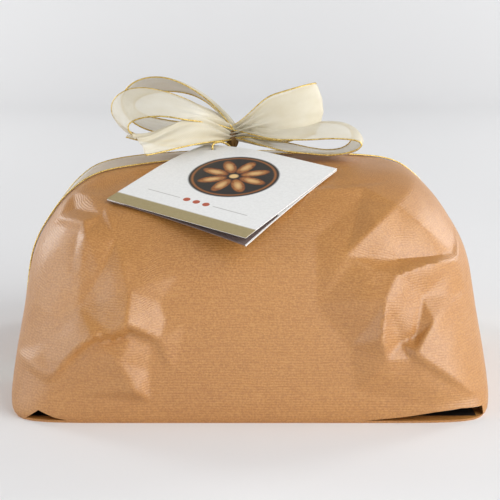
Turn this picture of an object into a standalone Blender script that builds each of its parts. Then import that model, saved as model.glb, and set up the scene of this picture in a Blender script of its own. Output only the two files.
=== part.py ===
"""A gift-wrapped panettone: a pack of satin paper with a sheer ribbon, its bow and a folded card.

Metres, +Z up. The origin is the middle of the underside, and the pack's front faces -Y.
"""

import math

import bmesh
import bpy
import numpy as np
from mathutils import Vector
from mathutils.bvhtree import BVHTree
from mathutils.geometry import delaunay_2d_cdt

MM = 0.001
GAP = 0.3 * MM

# Paper pack: its outline at each height, as height, half width and half depth (mm) and squareness.
PACK_OUTLINES = (
    (0.0, 123.5, 110.0, 11.0),
    (4.0, 125.5, 111.3, 10.0),
    (16.0, 126.0, 111.5, 7.5),
    (45.0, 123.0, 108.5, 5.0),
    (75.0, 118.5, 100.0, 4.2),
    (94.0, 109.0, 88.0, 3.8),
    (107.0, 98.5, 73.0, 3.4),
    (115.0, 86.0, 56.0, 3.1),
    (118.6, 64.0, 37.0, 2.8),
    (120.6, 30.0, 17.0, 2.4),
)
PACK_TOP = 121.2 * MM
PACK_REACH = 125.0 * MM
PACK_ROWS = 32
PACK_STEPS = {"front": 48, "right": 12, "back": 28, "left": 12}

# Places where the paper is pulled flat: a point (mm), the bearing and rise of the way it faces, edge softness (mm).
TAUT_PLACES = (
    ((-14.0, -55.6, 111.9), (260.4, 72.5), 0.7),
    ((-85.0, -70.0, 101.0), (227.0, 71.0), 1.2),
    ((-112.0, -75.0, 90.0), (205.0, 25.0), 1.2),
    ((92.0, -55.0, 112.0), (325.0, 38.0), 1.2),
    ((30.0, 90.0, 98.0), (80.0, 66.0), 1.2),
    ((-92.0, 55.0, 112.0), (145.0, 38.0), 1.2),
)
TAUT_CLEAR = 20.0 * MM

# Folds pressed into the front: creases as chains of corners, each across, up and how far it stands out; mm.
FOLD_CREASES = (
    ((90, 112, 0.5), (76, 104, 3.0), (64, 96, 3.5), (47, 83, 1.5)),
    ((47, 83, 1.5), (76, 81, 0.0), (106, 81, 0.0)),
    ((52, 79, 1.5), (60, 77, 2.5), (73, 73, 4.5), (89, 77, 4.0), (107, 77, 2.0)),
    ((73, 73, 4.5), (67, 62, 5.0), (65, 43, 5.0), (68, 33, 3.0), (70, 23, 1.0)),
    ((89, 77, 4.0), (87, 63, 1.0), (83, 44, 0.5)),
    ((87, 63, 1.0), (92, 51, 3.0), (83, 44, 0.5), (75, 41, 1.0), (68, 33, 3.0)),
    ((92, 51, 3.0), (82, 36, 4.0), (101, 23, 3.0), (112, 15, 1.0)),
    ((-96, 107, 1.5), (-86, 106, 2.6), (-75, 104, 1.2)),
    ((-93, 101, 0.0), (-77, 100, 0.0)),
    ((-101, 96, 2.0), (-86, 96, 3.0), (-84, 91, 2.0), (-86, 75, 2.0)),
    ((-60, 66, 2.0), (-61, 50, 4.5)),
    ((-45, 61, 0.0), (-42, 53, 0.0), (-45, 43, 1.0)),
    ((-98, 25, 1.5), (-93, 31, 3.0), (-85, 39, 4.0), (-78, 44, 4.5), (-69, 46, 4.0), (-61, 50, 4.5), (-45, 43, 1.0)),
    ((-69, 46, 4.0), (-65, 32, 3.5), (-57, 17, 0.5)),
    ((-49, 41, 0.5), (-51, 28, 0.0), (-57, 17, 0.5)),
    ((-102, 55, 0.0), (-110, 37, -1.5), (-118, 25, 0.0)),
)
# Where the folds run out into the smooth paper: across and up; mm.
FOLD_ENDS = (
    ((80, 114), (58, 108), (34, 92), (34, 60), (50, 40), (54, 18)),
    ((90, 10), (118, 12), (115, 40), (112, 62), (112, 92)),
    ((-90, 110), (-70, 108), (-68, 90), (-74, 76), (-36, 74), (-33, 50), (-38, 25), (-50, 12), (-85, 16), (-104, 20)),
    ((-110, 103), (-108, 90), (-98, 84), (-94, 68), (-86, 58), (-96, 46), (-104, 34), (-112, 56), (-123, 30)),
)
FOLD_SHARPNESS = 1.6
FOLD_WAY_OUT = Vector((0.0, -0.95, 0.31))
FOLD_DEPTHS = (20.0 * MM, 50.0 * MM)
FOLD_CLEAR = 12.0 * MM
BACK_FOLD_SHARE = 0.8

# Black tray under the cake, and the openings at the pack's front corners through which it shows (across, up; mm).
TRAY_OUTLINE = (119.0, 105.0, 8.0)
TRAY_HEIGHT = 8.0 * MM
FLAP_THICKNESS = 2.8 * MM
OPENING_REACH = (-130.0 * MM, -85.0 * MM)
RIGHT_OPENING = ((58.0, 1.4), (119.5, 1.4), (118.0, 4.6), (107.0, 6.2), (93.0, 5.0), (78.0, 3.0))
LEFT_OPENING = ((-113.0, 1.4), (-92.0, 1.4), (-99.0, 2.6), (-107.0, 5.4))

# Ribbon: it runs round the pack as a band, aslant from front left to back right, and is tied on top in a bow.
RIBBON_WIDTH = 38.0 * MM
RIBBON_THICKNESS = 0.6 * MM
BAND_SLANT = math.radians(19.0)
BAND_WAY = Vector((math.cos(BAND_SLANT), math.sin(BAND_SLANT), 0.0))
BAND_SIDE = Vector((-math.sin(BAND_SLANT), math.cos(BAND_SLANT), 0.0))
BAND_OFFSET = 19.3 * MM
BAND_STEPS_OVER = 72
BAND_STEPS_UNDER = 4
BAND_BUNCHING = 0.1
BAND_ACROSS = 8
BAND_GAP = 0.95 * MM
GROOVE_DEPTH = 1.8 * MM
GROOVE_SPARE = 1.2 * MM

KNOT = Vector((-10.1, 8.0, 130.6)) * MM
KNOT_SIZE = Vector((11.0, 13.0, 15.6)) * MM
LOOPS_ABOVE_KNOT = 3.0 * MM
LOOP_STEPS = 26
LOOP_ACROSS = 4
PINCH_WIDTH = 7.0 * MM
PINCH_REACH = 30.0 * MM
START_SPREAD = 2.2 * MM

# Each loop: its side, its turn about its own length (degrees) and how far out it is fullest, then its front and back
# edges (reach, opening, rise in degrees, bend and depth) and how far it is crowned between them; mm.
LOOPS = {
    "left_low": (-1, 0.0, 1.0, (58.0, 13.0, 6.0, 0.0, -26.0), (72.0, 26.0, 12.0, 0.0, 8.0), 2.0),
    "left_high": (-1, 0.0, 1.0, (67.0, 30.0, 22.5, -5.0, 9.0), (60.0, 16.0, 26.0, -14.0, 41.0), 3.0),
    "right_high": (1, 100.0, 1.0, (54.0, 20.0, 17.0, 0.0, -13.0), (47.0, 20.0, 14.0, 0.0, 12.0), 5.0),
    "right_low": (1, 0.0, 3.5, (71.5, 7.0, -11.0, 10.0, -28.0), (70.0, 14.0, -5.0, 3.0, 8.0), 4.0),
}

# Tail of the bow, from the knot to its cut end: front edge, back edge and how far it stands up between them; mm.
TAIL_STATIONS = (
    ((-10.0, 5.0, 130.0), (-10.0, 9.0, 132.0), 1.0),
    ((-30.0, -17.0, 130.0), (-31.0, -6.0, 132.0), 13.0),
    ((-53.5, -29.0, 126.0), (-56.0, -17.0, 131.5), 7.0),
    ((-57.0, -31.0, 126.0), (-69.0, -19.0, 134.2), 4.0),
)
TAIL_STEPS = 16
TAIL_ACROSS = 6

# Card: two leaves joined at the left, the lower one drooping at its free corner, with a hole for the tie.
CARD_SIDE = 87.5 * MM
CARD_MIDDLE = Vector((-14.0, -56.1, 114.0)) * MM
CARD_ACROSS = Vector((0.829, -0.545, -0.127))
CARD_UP = Vector((0.557, 0.784, 0.274))
CARD_THICKNESS = 0.5 * MM
CARD_GAP = 0.35 * MM
CARD_DROOP = 3.6 * MM
CARD_CURL = 4.5 * MM
CARD_CURL_START = 0.45
CARD_STEPS = 8
CARD_FOLD_WIDTH = 0.8 * MM
CARD_HOLE = (-32.7 * MM, 35.7 * MM)
CARD_HOLE_RADIUS = 1.7 * MM

# Tie: a gold cord from the knot down through the card's hole and back under the card.
TIE_DIAMETER = 1.4 * MM
TIE_POINTS = (
    (-11.6, 0.5, 126.6),
    (-14.0, -2.4, 128.6),
    (-16.8, -5.4, 129.9),
    (-20.0, -8.8, 129.5),
    (-21.2, -10.3, 127.9),
    (-21.1, -9.6, 125.6),
    (-20.3, -8.3, 123.7),
    (-17.2, -4.8, 123.45),
    (-12.8, -0.2, 123.65),
)
TIE_STEPS = 22

# Colour, roughness and metallic value of each material.
MATERIALS = {
    "paper": ((0.55, 0.28, 0.11, 1.0), 0.42, 0.25),
    "tray": ((0.01, 0.01, 0.01, 1.0), 0.6, 0.0),
    "ribbon": ((0.86, 0.80, 0.62, 1.0), 0.5, 0.0),
    "card": ((0.85, 0.84, 0.80, 1.0), 0.45, 0.0),
    "gold_cord": ((0.75, 0.55, 0.15, 1.0), 0.35, 0.8),
}


def clear_scene():
    for obj in list(bpy.data.objects):
        bpy.data.objects.remove(obj, do_unlink=True)


def material(name):
    """One Principled material for each kind of surface."""
    found = bpy.data.materials.get(name)
    if found:
        return found
    colour, roughness, metallic = MATERIALS[name]
    made = bpy.data.materials.new(name)
    made.use_nodes = True
    shader = made.node_tree.nodes["Principled BSDF"]
    shader.inputs["Base Color"].default_value = colour
    shader.inputs["Roughness"].default_value = roughness
    shader.inputs["Metallic"].default_value = metallic
    return made


def add_object(name, points, faces, slot):
    mesh = bpy.data.meshes.new(name)
    mesh.from_pydata([tuple(point) for point in points], [], faces)
    mesh.validate()
    obj = bpy.data.objects.new(name, mesh)
    bpy.context.scene.collection.objects.link(obj)
    mesh.materials.append(material(slot))
    return obj


def facing_out(obj):
    """Turns every face of a closed mesh outwards."""
    shape = bmesh.new()
    shape.from_mesh(obj.data)
    bmesh.ops.recalc_face_normals(shape, faces=shape.faces)
    shape.to_mesh(obj.data)
    shape.free()
    return obj


def shade(obj, angle):
    obj.data.shade_smooth()
    obj.data.set_sharp_from_angle(angle=math.radians(angle))


def smooth_rows(rows, places):
    """A smooth curve through rows of numbers, at places from 0 (first row) to 1 (last row)."""
    rows = np.asarray(rows, float)
    place = np.clip(places, 0.0, 1.0) * (len(rows) - 1)
    start = np.minimum(place.astype(int), len(rows) - 2)
    part = (place - start)[:, None]
    before = rows[np.maximum(start - 1, 0)]
    here = rows[start]
    ahead = rows[start + 1]
    beyond = rows[np.minimum(start + 2, len(rows) - 1)]
    straight = (ahead - before) * part
    curved = (2 * before - 5 * here + 4 * ahead - beyond) * part**2
    turned = (3 * here - before - 3 * ahead + beyond) * part**3
    return here + 0.5 * (straight + curved + turned)


def ease(value):
    value = np.clip(value, 0.0, 1.0)
    return value * value * (3.0 - 2.0 * value)


def square_walk(steps):
    """Points round a square of half side 1, from its front left corner, with the given steps on each side."""
    corners = np.array(((-1.0, -1.0), (1.0, -1.0), (1.0, 1.0), (-1.0, 1.0)))
    walk = []
    for side, count in enumerate(steps):
        start = corners[side]
        end = corners[(side + 1) % 4]
        walk += [start + (end - start) * step / count for step in range(count)]
    return np.array(walk)


def rounded_outline(half_width, half_depth, squareness, walk):
    """The walk round a square, drawn in to a rounded rectangle (a superellipse)."""
    reach = (np.abs(walk) ** squareness).sum(1) ** (-1.0 / squareness)
    return walk * reach[:, None] * np.array((half_width, half_depth))


def outline_solid(name, outline, low, high, slot):
    """An upright slab between two heights over a rounded outline (half width and half depth in mm, squareness)."""
    half_width, half_depth, squareness = outline
    walk = square_walk((24, 20, 24, 20))
    rim = rounded_outline(half_width * MM, half_depth * MM, squareness, walk)
    count = len(rim)
    points = [(x, y, z) for z in (low, high) for x, y in rim]
    sides = [(k, (k + 1) % count, count + (k + 1) % count, count + k) for k in range(count)]
    faces = [*sides, tuple(range(count))[::-1], tuple(range(count, 2 * count))]
    return add_object(name, points, faces, slot)


def prism(name, profile, reach):
    """A cutter: a profile (across and up, mm) drawn out along Y."""
    count = len(profile)
    points = [(x * MM, y, z * MM) for y in reach for x, z in profile]
    sides = [(k, (k + 1) % count, count + (k + 1) % count, count + k) for k in range(count)]
    faces = [*sides, tuple(range(count))[::-1], tuple(range(count, 2 * count))]
    return facing_out(add_object(name, points, faces, "tray"))


def box(name, low, high):
    corners = [(x, z) for x, z in ((low[0], low[2]), (high[0], low[2]), (high[0], high[2]), (low[0], high[2]))]
    return prism(name, [(x / MM, z / MM) for x, z in corners], (low[1], high[1]))


def settle(obj):
    """Applies the object's modifiers."""
    graph = bpy.context.evaluated_depsgraph_get()
    result = bpy.data.meshes.new_from_object(obj.evaluated_get(graph))
    obj.modifiers.clear()
    obj.data = result


def cut(obj, cutters):
    """Takes the cutters out of an object, one after another, and removes them."""
    for cutter in cutters:
        change = obj.modifiers.new("cut", "BOOLEAN")
        change.operation = "DIFFERENCE"
        change.solver = "EXACT"
        change.object = cutter
        settle(obj)
        bpy.data.objects.remove(cutter, do_unlink=True)


def join(name, pieces, slot):
    """One body out of several that cross each other."""
    group = bpy.data.collections.new(name + "_pieces")
    first, *others = pieces
    for piece in others:
        bpy.context.scene.collection.objects.unlink(piece)
        group.objects.link(piece)
    bpy.context.scene.collection.children.link(group)
    change = first.modifiers.new("join", "BOOLEAN")
    change.operation = "UNION"
    change.solver = "EXACT"
    change.operand_type = "COLLECTION"
    change.collection = group
    settle(first)
    for piece in others:
        bpy.data.objects.remove(piece, do_unlink=True)
    bpy.data.collections.remove(group)
    first.name = name
    first.data.materials.clear()
    first.data.materials.append(material(slot))
    return first


def off_ribbon(points, fade):
    """0 under the ribbon, where it holds the paper, and 1 where the paper is free of it."""
    aside = points @ np.array(BAND_SIDE) - BAND_OFFSET
    return ease((np.abs(aside) - RIBBON_WIDTH / 2) / fade)


def pull_flat(points):
    """Presses the pack's points back to each taut plane that they pass."""
    free = off_ribbon(points, TAUT_CLEAR)[..., None]
    for middle, (bearing, rise), softness in TAUT_PLACES:
        bearing, rise = math.radians(bearing), math.radians(rise)
        out = np.array((math.cos(rise) * math.cos(bearing), math.cos(rise) * math.sin(bearing), math.sin(rise)))
        beyond = (points - np.array(middle) * MM) @ out
        soft = softness * MM
        points = points - out * (soft * np.logaddexp(0.0, beyond / soft))[..., None] * free
    return points


def fold_facets():
    """The flat facets between the creases: three corners each, as across, up and how far it stands out."""
    corners = {}
    creases = []
    for chain in FOLD_CREASES:
        places = [corners.setdefault(corner, len(corners)) for corner in chain]
        creases += list(zip(places, places[1:]))
    for across, up in (end for ends in FOLD_ENDS for end in ends):
        corners.setdefault((across, up, 0.0), len(corners))
    names = list(corners)
    places, _, facets, given, _, _ = delaunay_2d_cdt([Vector(name[:2]) for name in names], creases, [], 0, 0.01)
    heights = [names[sources[0]][2] if sources else 0.0 for sources in given]
    return [[np.array((*places[k], heights[k])) * MM for k in facet] for facet in facets]


def fold_height(across, up):
    """How far the folds stand out of the front at each place, in metres."""
    height = np.zeros_like(across)
    for (x1, z1, h1), (x2, z2, h2), (x3, z3, h3) in fold_facets():
        area = (x2 - x1) * (z3 - z1) - (x3 - x1) * (z2 - z1)
        share_2 = ((across - x1) * (z3 - z1) - (x3 - x1) * (up - z1)) / area
        share_3 = ((x2 - x1) * (up - z1) - (across - x1) * (z2 - z1)) / area
        share_1 = 1.0 - share_2 - share_3
        inside = (share_1 >= 0.0) & (share_2 >= 0.0) & (share_3 >= 0.0)
        height = np.where(inside, share_1 * h1 + share_2 * h2 + share_3 * h3, height)
    return height * FOLD_SHARPNESS


def press_folds(points):
    """Adds the folds to the front, and the same folds turned half round to the back."""
    near, far = FOLD_DEPTHS
    for turn, share in ((1.0, 1.0), (-1.0, BACK_FOLD_SHARE)):
        depth = -points[..., 1] * turn
        weight = ease((depth - near) / (far - near)) * share * off_ribbon(points, FOLD_CLEAR)
        height = fold_height(points[..., 0] * turn, points[..., 2]) * weight
        way_out = np.array((FOLD_WAY_OUT.x * turn, FOLD_WAY_OUT.y * turn, FOLD_WAY_OUT.z))
        points = points + height[..., None] * way_out
    return points


def pack_grid():
    """The pack's surface, as rows of points from the underside's rim up to the top."""
    fine = np.linspace(0.0, 1.0, 600)
    curve = smooth_rows(PACK_OUTLINES, fine)
    lengths = np.concatenate(([0.0], np.cumsum(np.hypot(np.diff(curve[:, 0]), np.diff(curve[:, 2])))))
    places = np.interp(np.linspace(0.0, lengths[-1], PACK_ROWS), lengths, fine)
    walk = square_walk(PACK_STEPS.values())
    rows = []
    for height, half_width, half_depth, squareness in smooth_rows(PACK_OUTLINES, places):
        rim = rounded_outline(half_width * MM, half_depth * MM, squareness, walk)
        rows.append(np.column_stack((rim, np.full(len(rim), height * MM))))
    return np.array(rows)


def make_pack():
    """The shut paper pack, with the slot for its tray, the two corner openings and the groove for the ribbon."""
    grid = press_folds(pull_flat(pack_grid()))
    grid[0, :, 2] = 0.0
    rows, columns, _ = grid.shape
    points = [*grid.reshape(-1, 3), (0.0, 0.0, PACK_TOP)]
    faces = []
    for row in range(rows - 1):
        for column in range(columns):
            beside = (column + 1) % columns
            low, high = row * columns, (row + 1) * columns
            faces.append((low + column, low + beside, high + beside, high + column))
    last = (rows - 1) * columns
    faces += [(last + column, last + (column + 1) % columns, rows * columns) for column in range(columns)]
    faces.append(tuple(range(columns))[::-1])
    pack = add_object("paper_pack", points, faces, "paper")
    slot_outline = (TRAY_OUTLINE[0] + GAP / MM, TRAY_OUTLINE[1] + GAP / MM, TRAY_OUTLINE[2])
    slot_top = FLAP_THICKNESS + TRAY_HEIGHT + 2 * GAP
    half_groove = RIBBON_WIDTH / 2 + GROOVE_SPARE
    groove = box("groove", (-0.2, -half_groove, -0.01), (0.2, half_groove, GROOVE_DEPTH))
    groove.rotation_euler.z = BAND_SLANT
    groove.location = BAND_SIDE * BAND_OFFSET
    cutters = [
        outline_solid("slot", slot_outline, FLAP_THICKNESS, slot_top, "tray"),
        prism("right_opening", RIGHT_OPENING, OPENING_REACH),
        prism("left_opening", LEFT_OPENING, OPENING_REACH),
        groove,
    ]
    cut(pack, cutters)
    shade(pack, 40.0)
    return pack


def make_tray():
    low = FLAP_THICKNESS + GAP
    tray = outline_solid("base_tray", TRAY_OUTLINE, low, low + TRAY_HEIGHT, "tray")
    shade(tray, 40.0)
    return tray


def strip_solid(name, middle, thickness, slot, closed=False):
    """A thin closed solid on both sides of a grid of points, whose first axis runs along the strip."""
    along = np.roll(middle, -1, 0) - np.roll(middle, 1, 0)
    if not closed:
        along[0] = middle[1] - middle[0]
        along[-1] = middle[-1] - middle[-2]
    across = np.gradient(middle, axis=1)
    normal = np.cross(along, across)
    normal /= np.linalg.norm(normal, axis=2)[..., None]
    steps, width, _ = middle.shape
    sheets = np.array((middle + normal * thickness / 2, middle - normal * thickness / 2))
    points = sheets.reshape(-1, 3)
    lower = steps * width
    faces = []
    for step in range(steps if closed else steps - 1):
        ahead = (step + 1) % steps
        for column in range(width - 1):
            first, second = step * width + column, ahead * width + column
            for corners in ((first, second, second + 1), (first, second + 1, first + 1)):
                faces.append(corners)
                faces.append(tuple(lower + k for k in corners[::-1]))
        for column in (0, width - 1):
            here, beyond = step * width + column, ahead * width + column
            edge = (here, lower + here, lower + beyond, beyond)
            faces.append(edge if column == 0 else edge[::-1])
    if not closed:
        for step in (0, steps - 1):
            for column in range(width - 1):
                here = step * width + column
                edge = (here, here + 1, lower + here + 1, lower + here)
                faces.append(edge if step == 0 else edge[::-1])
    return facing_out(add_object(name, points, faces, slot))


def teardrop(turn, loop, edge, start):
    """One edge of a bow's loop, at turns from 0 to 1: out of the knot along the top, and back below."""
    side, roll, fullness = loop
    reach, opening, rise, bend, depth = edge
    out = reach * MM * (1.0 - np.cos(2 * math.pi * turn)) / 2
    swell = np.sin(2 * math.pi * turn) * np.sin(math.pi * turn) ** fullness
    lift = opening * MM / 2 * swell / swell.max() + START_SPREAD * np.cos(math.pi * turn)
    away = start + (depth * MM - start) * ease(out / PINCH_REACH)
    roll, rise = math.radians(roll), math.radians(rise)
    up = lift * math.cos(roll) - away * math.sin(roll) + bend * MM * (out / (reach * MM)) ** 2
    x = KNOT.x + side * (out * math.cos(rise) - up * math.sin(rise))
    y = KNOT.y + away * math.cos(roll) + lift * math.sin(roll)
    z = KNOT.z + LOOPS_ABOVE_KNOT + out * math.sin(rise) + up * math.cos(rise)
    return np.column_stack((x, y, z))


def loop_grid(loop, front, back, crown, steps, across):
    """The middle surface of one loop of the bow, crowned between its two edges."""
    turn = np.linspace(0.0, 1.0, steps)
    edges = [teardrop(turn, loop, front, -PINCH_WIDTH / 2), teardrop(turn, loop, back, PINCH_WIDTH / 2)]
    share = np.linspace(0.0, 1.0, across)[None, :, None]
    grid = edges[0][:, None] * (1.0 - share) + edges[1][:, None] * share
    run = np.gradient((edges[0] + edges[1]) / 2, axis=0)
    outward = np.cross(run, edges[1] - edges[0]) * loop[0]
    outward /= np.linalg.norm(outward, axis=1)[:, None]
    swell = (np.sin(math.pi * turn) * (1.0 + np.cos(math.pi * turn)))[:, None, None] * share * (1.0 - share)
    return grid + outward[:, None] * swell * 3.2 * crown * MM


def tail_grid(steps, across):
    """The bow's cut end: it stands up between its edges and narrows to the knot."""
    rows = [(*front, *back, crown) for front, back, crown in TAIL_STATIONS]
    rows = smooth_rows(rows, np.linspace(0.0, 1.0, steps)) * MM
    share = np.linspace(0.0, 1.0, across)[None, :, None]
    grid = rows[:, None, 0:3] * (1.0 - share) + rows[:, None, 3:6] * share
    grid[..., 2] += (rows[:, None, 6:7] * 4.0 * share * (1.0 - share))[..., 0]
    return grid


def make_bow():
    pieces = [strip_solid("tail", tail_grid(TAIL_STEPS, TAIL_ACROSS), RIBBON_THICKNESS, "ribbon")]
    for name, (*loop, front, back, crown) in LOOPS.items():
        grid = loop_grid(loop, front, back, crown, LOOP_STEPS, LOOP_ACROSS)
        pieces.append(strip_solid(name, grid, RIBBON_THICKNESS, "ribbon"))
    knot = bmesh.new()
    bmesh.ops.create_uvsphere(knot, u_segments=16, v_segments=10, radius=0.5)
    bmesh.ops.scale(knot, verts=knot.verts, vec=KNOT_SIZE)
    bmesh.ops.translate(knot, verts=knot.verts, vec=KNOT)
    mesh = bpy.data.meshes.new("knot")
    knot.to_mesh(mesh)
    knot.free()
    knot_object = bpy.data.objects.new("knot", mesh)
    bpy.context.scene.collection.objects.link(knot_object)
    bow = join("ribbon_bow", [knot_object, *pieces], "ribbon")
    shade(bow, 50.0)
    return bow


def band_outline(surface, aside):
    """The pack's outline in one of the ribbon's upright planes: from the right end over the top, and back below.

    Each place has a fourth number: how much further the ribbon lies in that plane to clear a surface that leans out of it.
    """
    middle = BAND_SIDE * (BAND_OFFSET + aside) + Vector((0.0, 0.0, 0.5 * PACK_TOP))
    low = BAND_SIDE * (BAND_OFFSET + aside) + Vector((0.0, 0.0, GROOVE_DEPTH + 0.02 * MM))

    def meet(start, way):
        place, facing, _, _ = surface.ray_cast(start + way * 3.0, -way)
        return Vector((*place, 1.0 / math.sqrt(1.0 - facing.dot(BAND_SIDE) ** 2)))

    def turn_of(place):
        return math.atan2((place.z - middle.z) / middle.z, (place.xyz - middle).dot(BAND_WAY) / PACK_REACH)

    right, left = meet(low, BAND_WAY * PACK_REACH), meet(low, BAND_WAY * -PACK_REACH)
    first, last = turn_of(right), turn_of(left) + 2 * math.pi
    share = np.linspace(0.0, 1.0, BAND_STEPS_OVER + 1)[1:-1]
    share = share - BAND_BUNCHING * np.sin(2 * math.pi * share)
    outline = [right]
    for turn in first + (last - first) * share:
        upward = Vector((0.0, 0.0, middle.z * math.sin(turn)))
        outline.append(meet(middle, BAND_WAY * (PACK_REACH * math.cos(turn)) + upward))
    outline += [left.lerp(right, step / BAND_STEPS_UNDER) for step in range(BAND_STEPS_UNDER)]
    return outline


def make_band(pack):
    """The ribbon round the pack: it lies on the paper on top and at both ends, and in the groove underneath."""
    surface = BVHTree.FromObject(pack, bpy.context.evaluated_depsgraph_get())
    places = np.linspace(-RIBBON_WIDTH / 2, RIBBON_WIDTH / 2, BAND_ACROSS)
    outlines = np.array([band_outline(surface, aside) for aside in places]).transpose(1, 0, 2)
    grid, stretch = outlines[..., :3], outlines[..., 3:]
    ahead = np.cross(np.roll(grid, -1, 0) - grid, np.array(BAND_SIDE))
    ahead /= -np.linalg.norm(ahead, axis=2)[..., None]
    behind = np.roll(ahead, 1, 0)
    away = (ahead + behind) / (1.0 + (ahead * behind).sum(2))[..., None] * stretch
    grid = grid + away * (BAND_GAP + RIBBON_THICKNESS / 2)
    band = strip_solid("ribbon_band", grid, RIBBON_THICKNESS, "ribbon", closed=True)
    shade(band, 50.0)
    return band


def card_place(across, up, below):
    """A point of the card, from its middle: across and up its face, and below the face."""
    corner = (up - across) / CARD_SIDE
    curl = CARD_CURL * max(0.0, (corner - CARD_CURL_START) / (1.0 - CARD_CURL_START)) ** 2
    facing = CARD_ACROSS.cross(CARD_UP).normalized()
    return CARD_MIDDLE + CARD_ACROSS * across + CARD_UP * up - facing * (below + curl)


def make_card():
    """The folded card as one body: two leaves with a thin gap, joined along the left side."""
    half = CARD_SIDE / 2
    columns = [-half, -half + CARD_FOLD_WIDTH]
    columns += [columns[1] + (half - columns[1]) * step / CARD_STEPS for step in range(1, CARD_STEPS + 1)]
    points = []
    for step in range(CARD_STEPS + 1):
        up = half - CARD_SIDE * step / CARD_STEPS
        gaps = []
        for across in columns:
            droop = CARD_DROOP * ((across + half) / CARD_SIDE) ** 2 * ((half - up) / CARD_SIDE) ** 2
            gaps.append(CARD_GAP + droop)
        top = [card_place(across, up, 0.0) for across in columns]
        under = [card_place(across, up, CARD_THICKNESS) for across in columns[1:]]
        lower = [card_place(x, up, CARD_THICKNESS + gap) for x, gap in zip(columns[2:], gaps[2:])]
        bottom = [card_place(x, up, 2 * CARD_THICKNESS + gap) for x, gap in zip(columns, gaps)]
        points.append((*top, *under[::-1], *lower, *bottom[::-1]))
    count = len(points[0])
    wide = len(columns)
    faces = []
    for row in range(CARD_STEPS):
        for k in range(count):
            here, beside = row * count + k, row * count + (k + 1) % count
            faces.append((here, beside, beside + count, here + count))
    fold = 2 * wide - 2
    for first in (0, CARD_STEPS * count):
        faces.append((first, first + 1, first + fold))
        faces.append((first, first + fold, first + count - 1))
        faces.append((first + fold, first + count - 2, first + count - 1))
        for k in range(1, wide - 1):
            faces.append((first + k, first + k + 1, first + 2 * wide - 2 - k, first + 2 * wide - 1 - k))
            faces.append((first + fold + k - 1, first + fold + k, first + count - 2 - k, first + count - 1 - k))
    card = facing_out(add_object("gift_card", [p for row in points for p in row], faces, "card"))
    hole = bmesh.new()
    radius = CARD_HOLE_RADIUS
    bmesh.ops.create_cone(hole, segments=12, radius1=radius, radius2=radius, depth=12.0 * MM, cap_ends=True)
    mesh = bpy.data.meshes.new("hole")
    hole.to_mesh(mesh)
    hole.free()
    cutter = bpy.data.objects.new("hole", mesh)
    bpy.context.scene.collection.objects.link(cutter)
    cutter.location = card_place(*CARD_HOLE, 0.0)
    cutter.rotation_euler = CARD_ACROSS.cross(CARD_UP).to_track_quat("Z", "Y").to_euler()
    cut(card, [cutter])
    shade(card, 30.0)
    return card


def tube(name, route, radius, sides, slot):
    """A round closed tube along a route of points."""
    along = np.gradient(route, axis=0)
    along /= np.linalg.norm(along, axis=1)[:, None]
    points = []
    across = np.cross(along[0], np.array((0.0, 0.0, 1.0)))
    for place, way in zip(route, along):
        across = across - way * (across @ way)
        across /= np.linalg.norm(across)
        other = np.cross(way, across)
        for turn in np.arange(sides) * 2 * math.pi / sides:
            points.append(place + radius * (math.cos(turn) * across + math.sin(turn) * other))
    faces = []
    for step in range(len(route) - 1):
        for k in range(sides):
            here, beside = step * sides + k, step * sides + (k + 1) % sides
            faces.append((here, beside, beside + sides, here + sides))
    faces += [tuple(range(sides)), tuple(range(len(points) - sides, len(points)))]
    made = facing_out(add_object(name, points, faces, slot))
    shade(made, 40.0)
    return made


def make_tie():
    route = smooth_rows(np.array(TIE_POINTS) * MM, np.linspace(0.0, 1.0, TIE_STEPS))
    return tube("card_tie", route, TIE_DIAMETER / 2, 8, "gold_cord")


def main():
    clear_scene()
    pack = make_pack()
    make_tray()
    make_band(pack)
    make_bow()
    make_card()
    make_tie()


main()
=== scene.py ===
"""The gift-wrapped panettone as the photograph shows it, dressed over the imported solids."""

import math

import bmesh
import bpy
import numpy as np
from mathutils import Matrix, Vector, noise
from mathutils.bvhtree import BVHTree
from mathutils.geometry import delaunay_2d_cdt


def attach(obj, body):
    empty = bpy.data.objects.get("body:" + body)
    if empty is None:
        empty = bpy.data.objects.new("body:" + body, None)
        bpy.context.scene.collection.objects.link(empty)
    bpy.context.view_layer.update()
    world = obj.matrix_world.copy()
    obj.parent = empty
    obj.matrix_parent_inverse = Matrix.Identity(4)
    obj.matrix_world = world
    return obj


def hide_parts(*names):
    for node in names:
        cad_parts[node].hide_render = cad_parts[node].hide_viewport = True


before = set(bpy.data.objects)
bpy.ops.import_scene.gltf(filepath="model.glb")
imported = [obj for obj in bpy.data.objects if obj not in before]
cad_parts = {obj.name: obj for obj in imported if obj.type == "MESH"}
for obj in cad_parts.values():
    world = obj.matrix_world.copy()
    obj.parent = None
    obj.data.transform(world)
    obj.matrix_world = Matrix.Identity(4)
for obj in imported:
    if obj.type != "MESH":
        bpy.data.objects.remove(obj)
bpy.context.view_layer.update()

MM = 0.001

# Camera of the photograph: its place, how far it looks down (degrees), and its lens and sensor (mm).
CAMERA_PLACE = (0.0, -0.6847, 0.2115)
CAMERA_DOWN = 12.0
CAMERA_LENS = 86.4
CAMERA_SENSOR = 36.0

# Studio: each softbox has a name, a place and a target (metres), a width and height, and a power in watts.
LIGHTS = (
    ("key_softbox", (0.82, -0.62, 0.5), (0.0, 0.0, 0.07), (1.2, 1.2), 14.0),
    ("fill_softbox", (-0.95, -0.35, 0.35), (0.0, 0.0, 0.07), (1.0, 0.9), 4.0),
    ("backdrop_light_left", (-1.5, 1.1, 0.8), (0.0, 1.4, 0.0), (0.8, 0.8), 13.5),
    ("backdrop_light_right", (1.5, 1.1, 0.8), (0.0, 1.4, 0.0), (0.8, 0.8), 13.5),
)
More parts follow.
